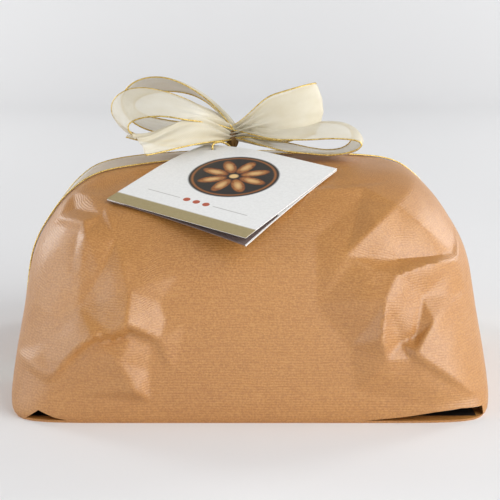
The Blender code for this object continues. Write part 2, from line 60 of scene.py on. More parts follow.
# Light of the surround, level with the floor and overhead, and how high its way points where the fade ends.
WORLD_LEVEL = 1.0
WORLD_OVERHEAD = 0.35
WORLD_FADE_END = 0.45
WORLD_COLOUR = (0.98, 0.985, 1.0, 1.0)
# Floor: how far it runs to the front, back and sides, and the sweep that turns it up; metres.
FLOOR_FRONT = -2.5
FLOOR_BACK = 1.6
FLOOR_SIDE = 4.0
SWEEP_RADIUS = 0.9
SWEEP_TURN = math.pi / 3
SWEEP_STEPS = 24

# Paper pack: its outline at each height, as height, half width and half depth (mm) and squareness.
PACK_OUTLINES = (
    (0.0, 123.5, 110.0, 11.0),
    (4.0, 125.5, 111.3, 10.0),
    (16.0, 126.0, 111.5, 7.5),
    (45.0, 123.0, 108.5, 5.0),
    (75.0, 118.5, 100.0, 4.2),
    (94.0, 109.0, 88.0, 3.8),
    (107.0, 98.5, 73.0, 3.4),
    (115.0, 86.0, 56.0, 3.1),
    (118.6, 64.0, 37.0, 2.8),
    (120.6, 30.0, 17.0, 2.4),
)
PACK_TOP = 121.2 * MM
PACK_REACH = 125.0 * MM
PACK_ROWS = 120
PACK_STEPS = {"front": 160, "right": 60, "back": 120, "left": 60}
# Half the width and half the depth of the pack, by which its sides are told from its front and back.
PACK_HALVES = (126.0, 111.0)

# Places where the paper is pulled flat: a point (mm), the bearing and rise of the way it faces (degrees) and
# how soft the edge is (mm).
TAUT_PLACES = (
    ((-14.0, -55.6, 111.9), (260.4, 72.5), 0.7),
    ((-85.0, -70.0, 101.0), (227.0, 71.0), 1.2),
    ((-112.0, -75.0, 90.0), (205.0, 25.0), 1.2),
    ((92.0, -55.0, 112.0), (325.0, 38.0), 1.2),
    ((30.0, 90.0, 98.0), (80.0, 66.0), 1.2),
    ((-92.0, 55.0, 112.0), (145.0, 38.0), 1.2),
)
TAUT_CLEAR = 20.0 * MM

# Folds pressed into the front: creases as chains of corners, each across, up and how far it stands out; mm.
FOLD_CREASES = (
    ((90, 112, 0.5), (76, 104, 3.0), (64, 96, 3.5), (47, 83, 1.5)),
    ((47, 83, 1.5), (76, 81, 0.0), (106, 81, 0.0)),
    ((52, 79, 1.5), (60, 77, 2.5), (73, 73, 4.5), (89, 77, 4.0), (107, 77, 2.0)),
    ((73, 73, 4.5), (67, 62, 5.0), (65, 43, 5.0), (68, 33, 3.0), (70, 23, 1.0)),
    ((89, 77, 4.0), (87, 63, 1.0), (83, 44, 0.5)),
    ((87, 63, 1.0), (92, 51, 3.0), (83, 44, 0.5), (75, 41, 1.0), (68, 33, 3.0)),
    ((92, 51, 3.0), (82, 36, 4.0), (101, 23, 3.0), (112, 15, 1.0)),
    ((80, 33.5, 2.2), (99, 20.5, 1.6), (111, 12.5, 0.2)),
    ((34, 110, 0.5), (60, 112, 1.1), (90, 112, 0.5)),
    ((-96, 107, 1.5), (-86, 106, 2.6), (-75, 104, 1.2)),
    ((-93, 101, -0.4), (-77, 100, 0.0)),
    ((-101, 96, 2.0), (-86, 96, 3.2), (-84, 91, 2.4), (-86, 75, 0.6)),
    ((-99, 93, 0.2), (-88, 92, 0.6), (-90, 76, 0.0)),
    ((-60, 66, 2.0), (-61, 50, 4.5)),
    ((-45, 61, 0.0), (-42, 53, 0.0), (-45, 43, 1.0)),
    ((-98, 25, 1.5), (-93, 31, 3.0), (-85, 39, 4.0), (-78, 44, 4.5)),
    ((-78, 44, 4.5), (-69, 46, 4.0), (-61, 50, 4.5), (-45, 43, 1.0)),
    ((-96, 23, 0.2), (-91, 28.5, 0.8), (-83, 36.5, 1.2), (-76.5, 41.5, 1.4)),
    ((-76.5, 41.5, 1.4), (-68, 43, 0.8), (-59, 46, 0.6), (-49, 41, 0.0)),
    ((-68, 43, 0.8), (-65, 32, 2.4), (-57, 17, 2.6)),
    ((-49, 41, 0.0), (-51, 28, 0.2), (-57, 17, 2.6)),
    ((-102, 55, 0.0), (-110, 37, -1.5), (-114, 28.5, 0.8)),
    ((-122, 31, 0.0), (-114, 28.5, 0.8), (-104, 25.5, 1.2), (-98, 25, 1.5)),
)
# Where the folds run out into the smooth paper: across and up; mm.
FOLD_ENDS = (
    ((80, 114), (58, 108), (34, 92), (34, 60), (50, 40), (54, 18)),
    ((90, 10), (118, 12), (115, 40), (112, 62), (112, 92)),
    ((-90, 110), (-70, 108), (-68, 90), (-74, 76), (-36, 74), (-33, 50)),
    ((-38, 25), (-50, 12), (-85, 16), (-104, 20)),
    ((-110, 103), (-108, 90), (-98, 84), (-94, 68), (-86, 58), (-96, 46)),
    ((-104, 34), (-112, 56), (-123, 30)),
)
FOLD_SHARPNESS = 2.0
FOLD_WAY_OUT = Vector((0.0, -0.95, 0.31))
FOLD_DEPTHS = (20.0 * MM, 50.0 * MM)
FOLD_CLEAR = 12.0 * MM
BACK_FOLD_SHARE = 0.8

# Openings at the pack's front corners, through which the tray shows: how deep they reach, and their outlines
# (across and up, mm). Inside them the paper is painted black as shade in the hollows, between these limits of
# X, Y and Z (mm).
OPENING_REACH = (-130.0 * MM, -85.0 * MM)
RIGHT_OPENING = ((58.0, 1.4), (119.5, 1.4), (118.5, 6.6), (107.0, 7.4), (93.0, 6.0), (78.0, 3.6))
LEFT_OPENING = ((-114.0, 1.4), (-92.0, 1.4), (-99.0, 3.0), (-107.0, 6.4))
OPENING_PAINTED_SHADE = ((-112.0, 115.5), (-103.0, -84.5), (1.2, 7.6))

# Small creases of the paper over its folds: the bearing of each run (degrees), its pitch and height (mm), and
# its shift as a share of the pitch.
CRINKLES = (
    (14.0, 23.0, 0.42, 0.1),
    (71.0, 31.0, 0.55, 0.45),
    (118.0, 19.0, 0.36, 0.7),
    (158.0, 13.0, 0.2, 0.25),
)
# Where they lie: across and up, and how far they reach; mm.
CRINKLED = ((84.0, 58.0, 30.0, 40.0), (-84.0, 56.0, 30.0, 42.0))

# Texture of the paper: the pitch of its ribs and threads, and how far the ribs sway.
RIB_PITCH = 1.35 * MM
THREAD_PITCH = 1.1 * MM
RIB_SWAY = 0.6 * MM
PAPER_BROWNS = ((0.41, 0.167, 0.028), (0.45, 0.192, 0.036))

# Ribbon: the band runs aslant from front left to back right.
RIBBON_WIDTH = 38.0 * MM
BAND_SLANT = math.radians(19.0)
BAND_WAY = Vector((math.cos(BAND_SLANT), math.sin(BAND_SLANT), 0.0))
BAND_SIDE = Vector((-math.sin(BAND_SLANT), math.cos(BAND_SLANT), 0.0))
BAND_OFFSET = 19.3 * MM
BAND_STEPS_OVER = 220
BAND_STEPS_UNDER = 40
BAND_BUNCHING = 0.08
BAND_ACROSS = 16
BAND_GAP = 0.9 * MM
GROOVE_DEPTH = 1.8 * MM
GROOVE_SPARE = 1.2 * MM
WIRE_RADIUS = 0.45 * MM
WIRE_SIDES = 6
WEAVE_PITCH = 0.9 * MM
# Its slight waves: how high, and how many in a metre.
WAVE_HEIGHT = 0.6 * MM
WAVE_RATE = 55.0

KNOT = Vector((-10.1, 8.0, 130.6)) * MM
KNOT_SIZE = Vector((9.5, 12.0, 13.5)) * MM
LOOPS_ABOVE_KNOT = 3.0 * MM
LOOP_STEPS = 96
LOOP_ACROSS = 41
PINCH_WIDTH = 7.0 * MM
PINCH_REACH = 30.0 * MM
START_SPREAD = 2.2 * MM
PLEATS = 4
PLEAT_REACH = (12.0 * MM, 34.0 * MM)
# Share of the pleats' depth that is left past their reach.
LOOP_LOOSE = 0.15
TAIL_LOOSE = 0.75

# Each loop: its side, its turn about its own length (degrees) and how far out it is fullest, then its front
# and back edges (reach, opening, rise in degrees, bend and depth) and how far it is crowned between them; mm.
LOOPS = {
    "left_low": (-1, 0.0, 1.0, (58.0, 13.0, 6.0, 0.0, -26.0), (72.0, 26.0, 12.0, 0.0, 8.0), 2.0),
    "left_high": (-1, 0.0, 1.0, (67.0, 30.0, 22.5, -5.0, 9.0), (60.0, 16.0, 26.0, -14.0, 41.0), 3.0),
    "right_high": (1, 100.0, 1.0, (54.0, 20.0, 17.0, 0.0, -13.0), (47.0, 20.0, 14.0, 0.0, 12.0), 5.0),
    "right_low": (1, 0.0, 3.5, (71.5, 7.0, -11.0, 10.0, -28.0), (70.0, 14.0, -5.0, 3.0, 8.0), 4.0),
}

# Tail: front edge, back edge and how far the strip stands up between them, from the knot to the cut end; mm.
TAIL_STATIONS = (
    ((-10.0, 5.0, 130.0), (-10.0, 9.0, 132.0), 1.0),
    ((-30.0, -17.0, 130.0), (-31.0, -6.0, 132.0), 13.0),
    ((-53.5, -29.0, 126.0), (-56.0, -17.0, 131.5), 7.0),
    ((-57.0, -31.0, 126.0), (-69.0, -19.0, 134.2), 4.0),
)

# Card: its side, its middle and the ways across and up its face.
CARD_SIDE = 87.5 * MM
CARD_MIDDLE = Vector((-14.0, -56.1, 114.0)) * MM
CARD_ACROSS = Vector((0.829, -0.545, -0.127))
CARD_UP = Vector((0.557, 0.784, 0.274))

# What is printed on the card, in halves of its side from its middle: a disc with a rim and a rosette of
# almonds, a row of berries between two lines, and the top of a band along its lower edge.
ROSETTE_MIDDLE = (0.0, 0.22)
DISC_RADIUS = 0.56
RIM_RADIUS = 0.51
ALMONDS = 8
ALMOND_MIDDLE = (0.27, 0.0)
ALMOND_SIZE = (0.185, 0.083)
HEART_RADIUS = 0.055
BERRIES = (-0.14, 0.0, 0.14)
BERRY_SIZE = (0.045, 0.045)
BERRY_ROW = -0.56
LINE_MIDDLES = (-0.48, 0.48)
LINE_HALF = 0.24
OLIVE_TOP = -0.80
# How deep the print reaches into the face (metres). The painted shade between the card's two leaves starts at
# a depth of its own, and reaches to its top, bottom and right, in halves of the card's side.
PRINT_DEPTH = -0.3 * MM
GAP_SHADE_DEPTH = -0.9 * MM
GAP_SHADE_TOP = -0.3
GAP_SHADE_BOTTOM = -1.02
GAP_SHADE_RIGHT = 0.985
NEAR_BLACK = (0.022, 0.018, 0.016)
ALMOND_GOLD = (0.80, 0.53, 0.23)

# Tie: a gold cord of two twisted strands, from the knot through the card's hole and back under the card.
TIE_POINTS = (
    (-11.6, 0.5, 126.6),
    (-14.0, -2.4, 128.6),
    (-16.8, -5.4, 129.9),
    (-20.0, -8.8, 129.5),
    (-21.2, -10.3, 127.9),
    (-21.1, -9.6, 125.6),
    (-20.3, -8.3, 123.7),
    (-17.2, -4.8, 123.2),
    (-12.8, -0.2, 123.4),
)
TIE_STRAND = 0.38 * MM
TIE_TURN = 3.2 * MM
# A way that no cord or wire runs along, from which the first way across it is worked out.
SKEW_WAY = np.array((0.13, 0.07, 1.0))


# Materials.


class Nodes:
    """A short way to write one material's nodes."""

    def __init__(self, name):
        self.material = bpy.data.materials.new(name)
        self.material.use_nodes = True
        self.tree = self.material.node_tree
        self.shader = self.tree.nodes["Principled BSDF"]

    def add(self, kind, values, settings=None):
        node = self.tree.nodes.new(kind)
        for key, value in (settings or {}).items():
            setattr(node, key, value)
        for key, value in values.items():
            if isinstance(value, bpy.types.NodeSocket):
                self.tree.links.new(value, node.inputs[key])
            else:
                node.inputs[key].default_value = value
        return node

    def math(self, operation, first, second=0.0, third=0.0):
        values = {0: first, 1: second, 2: third}
        return self.add("ShaderNodeMath", values, {"operation": operation}).outputs[0]

    def vector(self, operation, first, second):
        return self.add("ShaderNodeVectorMath", {0: first, 1: second}, {"operation": operation}).outputs

    def along(self, place, start, way):
        """How far a place is along a way, from a start."""
        moved = self.vector("SUBTRACT", place, tuple(start))[0]
        return self.vector("DOT_PRODUCT", moved, tuple(way))["Value"]

    def noise(self, place, scale, detail=3.0, roughness=0.5):
        values = {"Vector": place, "Scale": scale, "Detail": detail, "Roughness": roughness}
        return self.add("ShaderNodeTexNoise", values).outputs["Fac"]

    def spread(self, value, low, high, to_low=0.0, to_high=1.0):
        """Maps a value between low and high to the range between to_low and to_high."""
        return self.add("ShaderNodeMapRange", {0: value, 1: low, 2: high, 3: to_low, 4: to_high}).outputs[0]

    def mix(self, share, first, second):
        """Mixes two colours by a share from 0 (the first) to 1 (the second)."""
        node = self.add("ShaderNodeMix", {0: share}, {"data_type": "RGBA"})
        for key, value in ((6, first), (7, second)):
            if isinstance(value, bpy.types.NodeSocket):
                self.tree.links.new(value, node.inputs[key])
            else:
                node.inputs[key].default_value = (*value[:3], 1.0)
        return node.outputs[2]

    def bump(self, height, distance, strength=1.0, before=None):
        values = {"Height": height, "Distance": distance, "Strength": strength}
        if before is not None:
            values["Normal"] = before
        return self.add("ShaderNodeBump", values).outputs[0]

    def finish(self, **inputs):
        for key, value in inputs.items():
            name = key.replace("_", " ")
            if isinstance(value, bpy.types.NodeSocket):
                self.tree.links.new(value, self.shader.inputs[name])
            else:
                self.shader.inputs[name].default_value = value
        return self.material


def paper_material():
    """Brown satin paper with fine ribs that follow the sheet and a fine grain, painted black inside the
    openings as shade.
    """
    made = Nodes("ribbed_paper")
    sheet_place = made.add("ShaderNodeUVMap", {}, {"uv_map": "paper"}).outputs[0]
    place = made.add("ShaderNodeTexCoord", {}).outputs["Object"]
    split = made.add("ShaderNodeSeparateXYZ", {0: sheet_place})
    sway = made.spread(made.noise(place, 14.0, 2.0), 0.3, 0.7, -RIB_SWAY, RIB_SWAY)
    up = made.math("ADD", split.outputs[1], sway)
    rib = made.math("SINE", made.math("MULTIPLY", up, 2 * math.pi / RIB_PITCH))
    rib = made.spread(rib, -1.0, 1.0)
    thread = made.math("SINE", made.math("MULTIPLY", split.outputs[0], 2 * math.pi / THREAD_PITCH))
    grain = made.noise(place, 1000.0, 2.0, 0.6)
    patch = made.noise(place, 22.0, 4.0, 0.55)
    spot = made.add("ShaderNodeSeparateXYZ", {0: place})
    # Painted shade: a box inside the corner openings where the paper is coloured near black.
    painted_shade_inside = 1.0
    for axis, (low, high) in enumerate(OPENING_PAINTED_SHADE):
        painted_shade_inside = made.math("MULTIPLY", painted_shade_inside, made.math("GREATER_THAN", spot.outputs[axis], low * MM))
        painted_shade_inside = made.math("MULTIPLY", painted_shade_inside, made.math("LESS_THAN", spot.outputs[axis], high * MM))
    colour = made.mix(made.spread(patch, 0.32, 0.68), *PAPER_BROWNS)
    colour = made.mix(made.math("MULTIPLY", rib, 0.09), colour, (0.66, 0.38, 0.15))
    colour = made.mix(made.spread(thread, -1.0, 1.0, 0.0, 0.04), colour, (0.44, 0.20, 0.07))
    colour = made.mix(made.spread(grain, 0.36, 0.5, 0.34, 0.0), colour, (0.27, 0.095, 0.015))
    colour = made.mix(made.spread(grain, 0.5, 0.64, 0.0, 0.30), colour, (0.62, 0.33, 0.10))
    # Painted shade: the paper inside the corner openings turns near black.
    colour = made.mix(painted_shade_inside, colour, (0.012, 0.009, 0.008))
    relief = made.math("ADD", rib, made.math("MULTIPLY", grain, 0.5))
    normal = made.bump(relief, 0.00006)
    normal = made.bump(made.noise(place, 60.0, 3.0, 0.5), 0.0005, 0.5, normal)
    roughness = made.spread(patch, 0.3, 0.7, 0.48, 0.42)
    return made.finish(Base_Color=colour, Roughness=roughness, IOR=1.85, Normal=normal)


def ribbon_material(name, alpha, cream, shade):
    """Sheer ribbon: a fine plain weave that lets some of what is behind it through."""
    made = Nodes(name)
    strip_place = made.add("ShaderNodeUVMap", {}, {"uv_map": "ribbon"}).outputs[0]
    place = made.add("ShaderNodeTexCoord", {}).outputs["Object"]
    split = made.add("ShaderNodeSeparateXYZ", {0: strip_place})
    warp = made.math("SINE", made.math("MULTIPLY", split.outputs[0], 2 * math.pi / WEAVE_PITCH))
    weft = made.math("SINE", made.math("MULTIPLY", split.outputs[1], 2 * math.pi / WEAVE_PITCH))
    weave = made.math("MULTIPLY", warp, weft)
    streak = made.noise(strip_place, 60.0, 3.0)
    colour = made.mix(made.spread(streak, 0.3, 0.7), cream, shade)
    opacity = made.math("ADD", alpha, made.spread(weave, -1.0, 1.0, -0.04, 0.04))
    normal = made.bump(weave, 0.00004)
    normal = made.bump(made.noise(place, 140.0, 2.0), 0.0004, 0.5, normal)
    made.shader.inputs["Sheen Weight"].default_value = 0.25
    made.shader.inputs["Sheen Roughness"].default_value = 0.4
    return made.finish(Base_Color=colour, Roughness=0.48, Alpha=opacity, Normal=normal)


def wire_material():
    """Gold thread wound over the ribbon's wired edges and the tie."""
    made = Nodes("gold_thread")
    place = made.add("ShaderNodeTexCoord", {}).outputs["Object"]
    beads = made.noise(place, 1500.0, 1.0)
    colour = made.mix(made.spread(beads, 0.38, 0.62), (0.50, 0.32, 0.06), (0.90, 0.70, 0.25))
    normal = made.bump(beads, 0.0003)
    return made.finish(Base_Color=colour, Metallic=0.75, Roughness=0.34, Normal=normal)


def tray_material():
    made = Nodes("black_card")
    place = made.add("ShaderNodeTexCoord", {}).outputs["Object"]
    grain = made.noise(place, 260.0, 4.0)
    colour = made.mix(grain, (0.004, 0.004, 0.004), (0.014, 0.012, 0.011))
    return made.finish(Base_Color=colour, Roughness=0.7, Normal=made.bump(grain, 0.0001))


def card_material():
    """White coated card: an olive band, a dark disc with a rosette of almonds, and a row of three berries."""
    made = Nodes("printed_card")
    place = made.add("ShaderNodeTexCoord", {}).outputs["Object"]
    facing = CARD_ACROSS.cross(CARD_UP).normalized()
    u = made.math("DIVIDE", made.along(place, CARD_MIDDLE, CARD_ACROSS), CARD_SIDE / 2)
    v = made.math("DIVIDE", made.along(place, CARD_MIDDLE, CARD_UP), CARD_SIDE / 2)
    depth = made.along(place, CARD_MIDDLE, facing)
    printed = made.math("GREATER_THAN", depth, PRINT_DEPTH)

    def both(first, second):
        return made.math("MULTIPLY", first, second)

    def inside(value, soft=0.012):
        """1 where a value is under 0, with a soft edge."""
        return made.spread(value, -soft, soft, 1.0, 0.0)

    def oval(x, y, middle, size):
        """Under 0 inside an oval in the plane of x and y, and -1 at its middle."""
        x = made.math("DIVIDE", made.math("SUBTRACT", x, middle[0]), size[0])
        y = made.math("DIVIDE", made.math("SUBTRACT", y, middle[1]), size[1])
        return made.math("SUBTRACT", made.math("ADD", both(x, x), both(y, y)), 1.0)

    def near(value, middle, half):
        """Under 0 where a value is nearer to the middle than half."""
        return made.math("SUBTRACT", made.math("ABSOLUTE", made.math("SUBTRACT", value, middle)), half)

    fibre = made.noise(place, 700.0, 3.0)
    colour = made.mix(made.spread(fibre, 0.3, 0.7), (0.78, 0.78, 0.765), (0.84, 0.84, 0.825))

    x = made.math("SUBTRACT", u, ROSETTE_MIDDLE[0])
    y = made.math("SUBTRACT", v, ROSETTE_MIDDLE[1])
    radius = made.math("SQRT", made.math("ADD", both(x, x), both(y, y)))
    half_turn = math.pi / ALMONDS
    turn = made.math("WRAP", made.math("ARCTAN2", y, x), half_turn, -half_turn)
    out = both(radius, made.math("COSINE", turn))
    aside = both(radius, made.math("SINE", turn))
    disc = inside(made.math("SUBTRACT", radius, DISC_RADIUS))
    colour = made.mix(both(disc, printed), colour, NEAR_BLACK)
    rim = inside(near(radius, RIM_RADIUS, 0.012))
    colour = made.mix(both(rim, printed), colour, (0.34, 0.12, 0.03))
    almond = oval(out, aside, ALMOND_MIDDLE, ALMOND_SIZE)
    fine = made.noise(place, 430.0, 4.0, 0.65)
    skin = made.mix(made.spread(fine, 0.36, 0.62), (0.22, 0.062, 0.016), (0.42, 0.17, 0.045))
    skin = made.mix(made.spread(almond, -1.0, -0.55, 0.8, 0.0), skin, ALMOND_GOLD)
    skin = made.mix(made.spread(almond, -0.4, 0.0, 0.0, 0.8), skin, (0.07, 0.016, 0.006))
    colour = made.mix(both(inside(almond, 0.08), printed), colour, skin)
    heart = inside(made.math("SUBTRACT", radius, HEART_RADIUS))
    colour = made.mix(both(heart, printed), colour, ALMOND_GOLD)

    for middle in BERRIES:
        berry = inside(oval(u, v, (middle, BERRY_ROW), BERRY_SIZE), 0.1)
        colour = made.mix(both(berry, printed), colour, (0.45, 0.10, 0.05))
    for middle in LINE_MIDDLES:
        line = both(inside(near(v, BERRY_ROW, 0.006), 0.004), inside(near(u, middle, LINE_HALF)))
        colour = made.mix(both(both(line, printed), 0.6), colour, (0.16, 0.13, 0.11))
    band = inside(made.math("SUBTRACT", v, OLIVE_TOP))
    olive = made.mix(made.spread(fibre, 0.3, 0.7), (0.335, 0.27, 0.13), (0.37, 0.30, 0.155))
    colour = made.mix(both(band, printed), colour, olive)

    # Painted shade: the card's inner faces, in the gap between its leaves, are coloured dark brown.
    gap_shade = both(made.math("LESS_THAN", depth, GAP_SHADE_DEPTH), made.math("LESS_THAN", v, GAP_SHADE_TOP))
    gap_shade = both(gap_shade, made.math("GREATER_THAN", v, GAP_SHADE_BOTTOM))
    gap_shade = both(gap_shade, made.math("LESS_THAN", u, GAP_SHADE_RIGHT))
    colour = made.mix(both(gap_shade, 0.9), colour, (0.075, 0.028, 0.018))
    normal = made.bump(fibre, 0.00004)
    return made.finish(Base_Color=colour, Roughness=0.42, Normal=normal)


def floor_material():
    made = Nodes("studio_paper")
    place = made.add("ShaderNodeTexCoord", {}).outputs["Object"]
    colour = made.mix(made.noise(place, 3.0, 2.0), (0.80, 0.80, 0.805), (0.82, 0.82, 0.825))
    return made.finish(Base_Color=colour, Roughness=0.9)


# Shapes.


def smooth_rows(rows, places):
    """A smooth curve through rows of numbers, at places from 0 (first row) to 1 (last row)."""
    rows = np.asarray(rows, float)
    place = np.clip(places, 0.0, 1.0) * (len(rows) - 1)
    start = np.minimum(place.astype(int), len(rows) - 2)
    part = (place - start)[:, None]
    before = rows[np.maximum(start - 1, 0)]
    here = rows[start]
    ahead = rows[start + 1]
    beyond = rows[np.minimum(start + 2, len(rows) - 1)]
    straight = (ahead - before) * part
    curved = (2 * before - 5 * here + 4 * ahead - beyond) * part**2
    turned = (3 * here - before - 3 * ahead + beyond) * part**3
    return here + 0.5 * (straight + curved + turned)


def ease(value):
    value = np.clip(value, 0.0, 1.0)
    return value * value * (3.0 - 2.0 * value)


def add_object(name, points, faces, made_of):
    mesh = bpy.data.meshes.new(name)
    mesh.from_pydata([tuple(point) for point in points], [], faces)
    mesh.validate()
    mesh.materials.append(made_of)
    obj = bpy.data.objects.new(name, mesh)
    bpy.context.scene.collection.objects.link(obj)
    return obj


def add_uv(obj, name, places):
    """Gives a mesh a UV map from one place for each vertex."""
    layer = obj.data.uv_layers.new(name=name)
    corners = np.zeros(len(obj.data.loops), dtype=int)
    obj.data.loops.foreach_get("vertex_index", corners)
    layer.data.foreach_set("uv", np.asarray(places)[corners].ravel())


def cell_faces(rows, columns, ring):
    faces = []
    for row in range(rows - 1):
        for column in range(columns if ring else columns - 1):
            beside = (column + 1) % columns
            low, high = row * columns, (row + 1) * columns
            faces.append((low + column, low + beside, high + beside, high + column))
    return faces


def tube(name, route, radius, sides, made_of):
    """A round closed tube along a route of points."""
    along = np.gradient(route, axis=0)
    along /= np.linalg.norm(along, axis=1)[:, None]
    points = []
    across = np.cross(along[0], SKEW_WAY)
    for place, way in zip(route, along):
        across = across - way * (across @ way)
        across /= np.linalg.norm(across)
        other = np.cross(way, across)
        turns = np.arange(sides)[:, None] * 2 * math.pi / sides
        points.append(place + radius * (np.cos(turns) * across + np.sin(turns) * other))
    points = np.concatenate(points)
    faces = cell_faces(len(route), sides, True)
    faces += [tuple(range(sides))[::-1], tuple(range(len(points) - sides, len(points)))]
    made = add_object(name, points, faces, made_of)
    made.data.shade_smooth()
    return made


def square_walk(steps):
    """Points round a square of half side 1, from its front left corner, with the given steps on each side."""
    corners = np.array(((-1.0, -1.0), (1.0, -1.0), (1.0, 1.0), (-1.0, 1.0)))
    walk = []
    for side, count in enumerate(steps):
        start = corners[side]
        end = corners[(side + 1) % 4]
        walk += [start + (end - start) * step / count for step in range(count)]
    return np.array(walk)


def off_ribbon(points, fade):
    """0 under the ribbon, where it holds the paper, and 1 where the paper is free of it."""
    aside = points @ np.array(BAND_SIDE) - BAND_OFFSET
    return ease((np.abs(aside) - RIBBON_WIDTH / 2) / fade)


def pull_flat(points):
    """Presses the pack's points back to each taut plane that they pass."""
    free = off_ribbon(points, TAUT_CLEAR)[..., None]
    for middle, (bearing, rise), softness in TAUT_PLACES:
        bearing, rise = math.radians(bearing), math.radians(rise)
        level = math.cos(rise)
        out = np.array((level * math.cos(bearing), level * math.sin(bearing), math.sin(rise)))
        beyond = (points - np.array(middle) * MM) @ out
        soft = softness * MM
        points = points - out * (soft * np.logaddexp(0.0, beyond / soft))[..., None] * free
    return points


def fold_facets():
    """The flat facets between the creases: three corners each, as across, up and how far it stands out."""
    corners = {}
    creases = []
    for chain in FOLD_CREASES:
        places = [corners.setdefault(corner, len(corners)) for corner in chain]
        creases += list(zip(places, places[1:]))
    for across, up in (end for ends in FOLD_ENDS for end in ends):
        corners.setdefault((across, up, 0.0), len(corners))
    names = list(corners)
    flat = [Vector(name[:2]) for name in names]
    places, _, facets, given, _, _ = delaunay_2d_cdt(flat, creases, [], 0, 0.01)
    heights = [names[sources[0]][2] if sources else 0.0 for sources in given]
    return [[np.array((*places[k], heights[k])) * MM for k in facet] for facet in facets]


def fold_height(across, up):
    """How far the folds stand out of the front at each place, in metres."""
    height = np.zeros_like(across)
    for (x1, z1, h1), (x2, z2, h2), (x3, z3, h3) in fold_facets():
        area = (x2 - x1) * (z3 - z1) - (x3 - x1) * (z2 - z1)
        share_2 = ((across - x1) * (z3 - z1) - (x3 - x1) * (up - z1)) / area
        share_3 = ((x2 - x1) * (up - z1) - (across - x1) * (z2 - z1)) / area
        share_1 = 1.0 - share_2 - share_3
        inside = (share_1 >= 0.0) & (share_2 >= 0.0) & (share_3 >= 0.0)
        height = np.where(inside, share_1 * h1 + share_2 * h2 + share_3 * h3, height)
    return height * FOLD_SHARPNESS


def press_folds(points):
    """Adds the folds to the front, and the same folds turned half round to the back."""
    near, far = FOLD_DEPTHS
    for turn, share in ((1.0, 1.0), (-1.0, BACK_FOLD_SHARE)):
        depth = -points[..., 1] * turn
        weight = ease((depth - near) / (far - near)) * share * off_ribbon(points, FOLD_CLEAR)
        height = fold_height(points[..., 0] * turn, points[..., 2]) * weight
        way_out = np.array((FOLD_WAY_OUT.x * turn, FOLD_WAY_OUT.y * turn, FOLD_WAY_OUT.z))
        points = points + height[..., None] * way_out
    return points


def crinkle(points):
    """Adds the paper's small straight creases round the folds, front and back."""
    height = np.zeros(points.shape[:-1])
    across, up = points[..., 0], points[..., 2]
    for bearing, pitch, rise, shift in CRINKLES:
        bearing = math.radians(bearing)
        run = (across * math.cos(bearing) + up * math.sin(bearing)) / (pitch * MM) + shift
        height += rise * MM * (4.0 * np.abs(run - np.floor(run) - 0.5) - 1.0)
    place = np.zeros_like(height)
    for middle, level, wide, tall in CRINKLED:
        aside = (across * np.sign(-points[..., 1]) / MM - middle) / wide
        above = (up / MM - level) / tall
        place = np.maximum(place, np.exp(-(aside**2 + above**2)))
    facing = ease((np.abs(points[..., 1]) / MM - 25.0) / 30.0)
    height *= place * facing * ease(up / MM / 12.0) * off_ribbon(points, FOLD_CLEAR)
    return points + height[..., None] * np.stack((0 * up, np.sign(points[..., 1]), 0 * up), -1)


def pack_grid():
    """The pack's surface, as rows of points from the underside's rim up to the top."""
    fine = np.linspace(0.0, 1.0, 600)
    curve = smooth_rows(PACK_OUTLINES, fine)
    lengths = np.concatenate(([0.0], np.cumsum(np.hypot(np.diff(curve[:, 0]), np.diff(curve[:, 2])))))
    places = np.interp(np.linspace(0.0, lengths[-1], PACK_ROWS), lengths, fine)
    walk = square_walk(PACK_STEPS.values())
    rows = []
    for height, half_width, half_depth, squareness in smooth_rows(PACK_OUTLINES, places):
        reach = (np.abs(walk) ** squareness).sum(1) ** (-1.0 / squareness)
        rim = walk * reach[:, None] * np.array((half_width, half_depth)) * MM
        rows.append(np.column_stack((rim, np.full(len(rim), height * MM))))
    return np.array(rows)


def prism(name, profile, reach, made_of):
    """A cutter: a profile (across and up, mm) drawn out along Y."""
    count = len(profile)
    points = [(x * MM, y, z * MM) for y in reach for x, z in profile]
    sides = [(k, (k + 1) % count, count + (k + 1) % count, count + k) for k in range(count)]
    ends = [tuple(range(count))[::-1], tuple(range(count, 2 * count))]
    made = add_object(name, points, sides + ends, made_of)
    shape = bmesh.new()
    shape.from_mesh(made.data)
    bmesh.ops.recalc_face_normals(shape, faces=shape.faces)
    shape.to_mesh(made.data)
    shape.free()
    return made


